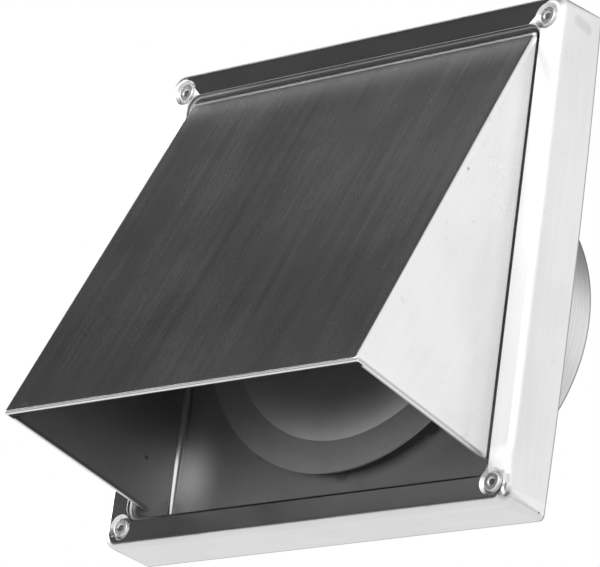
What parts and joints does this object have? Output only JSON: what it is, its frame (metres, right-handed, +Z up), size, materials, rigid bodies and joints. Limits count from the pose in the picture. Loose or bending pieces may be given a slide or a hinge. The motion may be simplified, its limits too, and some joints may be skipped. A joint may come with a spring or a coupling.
{
  "type": "dryer vent cap",
  "caption": "Hooded wall vent cap of folded sheet: square trim frame, recessed pan, round duct collar behind and a gravity flap that swings open under the sloping hood.",
  "frame": {"origin": "on the duct axis at the wall plane, which is the plane of the trim frame's rear edge and of the collar's root", "axes": "+Y into the wall along the duct collar, -Y out of the wall, +Z up, +X to the right seen from outside"},
  "size_m": [0.15, 0.1131, 0.15],
  "materials": {
    "trim_steel": "brushed along each side",
    "pan_steel": "satin brushed",
    "hood_steel": "fine brushed down the slope",
    "collar_steel": "mill finish",
    "gasket_rubber": "matt",
    "flap_steel": "satin brushed",
    "hinge_steel": "drawn wire",
    "bracket_steel": "mill finish",
    "rivet_steel": "formed, semi bright",
    "mandrel_steel": "dull, broken end"
  },
  "bodies": {
    "cap": {"trim_frame": "trim_steel", "base_pan": "pan_steel", "hood": "hood_steel", "duct_collar": "collar_steel", "seat_gasket": "gasket_rubber", "hinge_pin": "hinge_steel", "hinge_bracket_left": "bracket_steel", "hinge_bracket_right": "bracket_steel", "corner_rivets": "rivet_steel", "corner_rivet_mandrels": "mandrel_steel"},
    "flap": {"flap_disc": "flap_steel"}
  },
  "joints": [
    {"name": "flap_hinge", "type": "hinge", "parent": "cap", "child": "flap", "pos_m": [0, -0.00455, 0.0586], "axis": [-1, 0, 0], "range_deg": [0, 31]}
  ]
}
